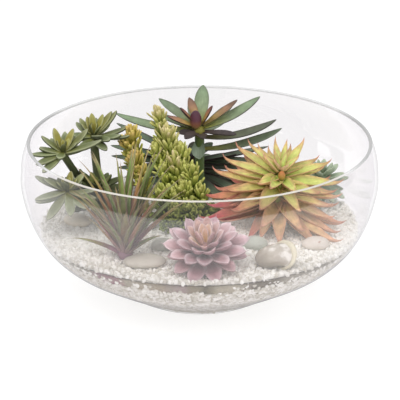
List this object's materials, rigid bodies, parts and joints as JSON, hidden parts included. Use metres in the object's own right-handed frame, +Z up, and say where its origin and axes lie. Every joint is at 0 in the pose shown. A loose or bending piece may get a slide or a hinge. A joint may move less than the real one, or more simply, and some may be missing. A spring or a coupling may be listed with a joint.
{
  "type": "glass plant terrarium",
  "caption": "Wide clear glass bowl terrarium planted with artificial succulents, sedum and an air plant in white gravel, with loose pebbles and a moon shell.",
  "frame": {"origin": "centre of the underside of the bowl's foot", "axes": "+Z up; -Y is the front of the arrangement, +X to its right"},
  "size_m": [0.3048, 0.3048, 0.1564],
  "materials": {
    "clear_glass": "polished",
    "white_gravel": "matte",
    "planting_foam": "matte",
    "tall_leaf": "satin",
    "tall_bud": "satin",
    "green_stem": "satin",
    "dark_leaf": "satin",
    "sedum_leaf": "satin",
    "gold_sedum_leaf": "satin",
    "olive_stem": "matte",
    "olive_leaf": "satin",
    "dark_olive_leaf": "satin",
    "air_leaf": "matte",
    "lime_leaf": "satin",
    "orange_bud": "satin",
    "pink_petal": "matte",
    "grey_leaf": "matte",
    "white_stone": "satin",
    "pale_green_stone": "satin",
    "grey_green_stone": "satin",
    "tan_stone": "satin",
    "beige_stone": "satin",
    "shell": "gloss"
  },
  "bodies": {
    "root": {"glass_bowl": "clear_glass", "tall_head": "tall_leaf", "tall_bud": "tall_bud", "tall_stem": "green_stem", "dark_rosette": "dark_leaf", "sedum_green": "sedum_leaf", "sedum_gold": "gold_sedum_leaf", "left_stem": "olive_stem", "left_head_wall": "olive_leaf", "left_head_back": "olive_leaf", "left_head_low": "olive_leaf", "left_head_inner": "dark_olive_leaf", "air_plant": "air_leaf", "spiky_head": "lime_leaf", "spiky_bud": "orange_bud", "pink_rosette": "pink_petal", "grey_rosette": "grey_leaf", "gravel_fill": "white_gravel", "planting_foam": "planting_foam", "gravel_top": "white_gravel", "pebble_white": "white_stone", "pebble_pale_green": "pale_green_stone", "pebble_grey_green": "grey_green_stone", "pebble_tan": "tan_stone", "pebble_beige": "beige_stone", "moon_shell": "shell"}
  },
  "joints": []
}
